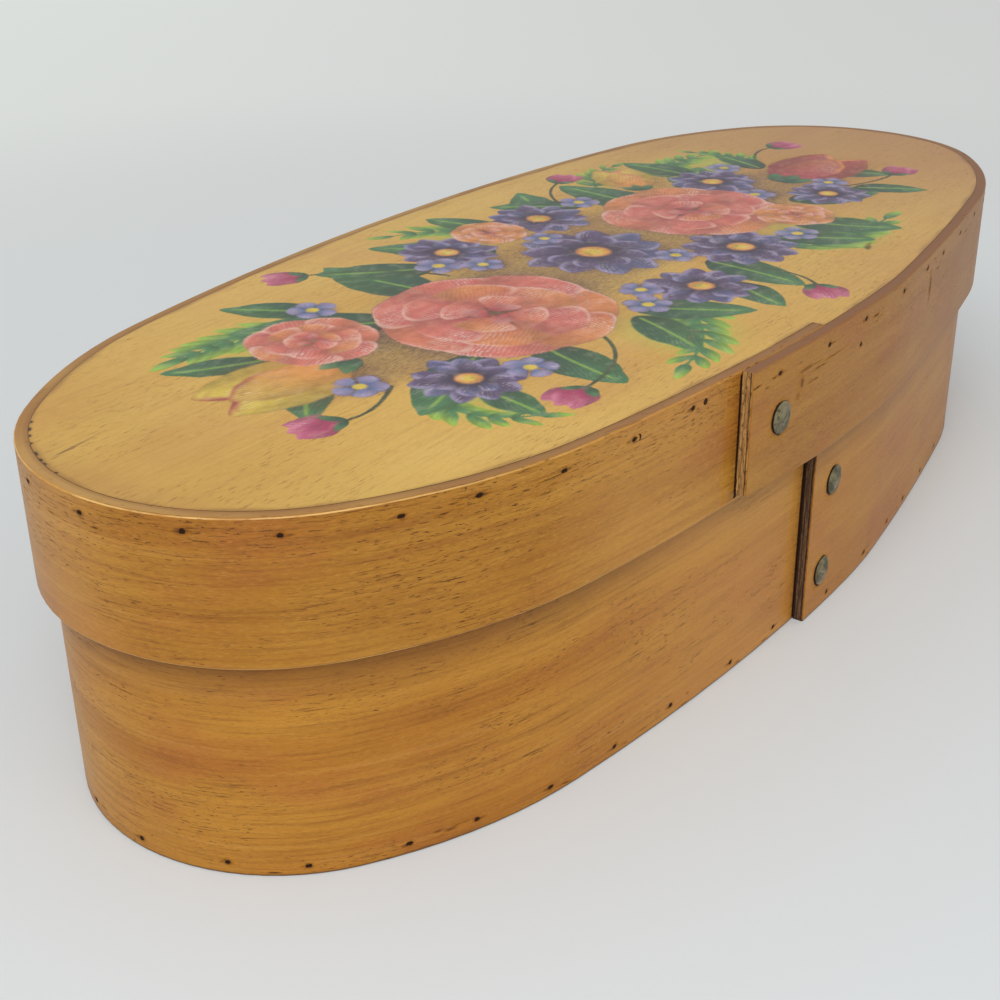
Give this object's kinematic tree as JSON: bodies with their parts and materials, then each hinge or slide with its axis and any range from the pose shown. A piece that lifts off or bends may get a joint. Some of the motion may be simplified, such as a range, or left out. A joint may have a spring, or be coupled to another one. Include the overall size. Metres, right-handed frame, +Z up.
{
  "type": "oval bentwood box with painted lid",
  "caption": "Long oval bentwood box of thin three-ply wood with a lift-off painted lid, riveted laps and nailed boards.",
  "frame": {"origin": "centre of the oval on the underside of the base board, where the box stands", "axes": "+X along the length, the laps and rivets face -Y, +Z up towards the painted lid"},
  "size_m": [0.4, 0.1633, 0.089],
  "materials": {
    "band": "varnished three-ply strip, orange brown, satin",
    "board": "varnished pale board, honey, satin",
    "rivet": "aged, dull",
    "nail": "darkened, dull"
  },
  "bodies": {
    "base": {"base_band": "band", "base_board": "board", "base_rivet_upper": "rivet", "base_rivet_lower": "rivet", "base_nails": "nail"},
    "lid": {"lid_band": "band", "lid_board": "board", "lid_rivet": "rivet", "lid_nails": "nail"}
  },
  "joints": [
    {"name": "lid_lift", "type": "slide", "parent": "base", "child": "lid", "axis": [0, 0, 1], "range_m": [0, 0.1]}
  ]
}
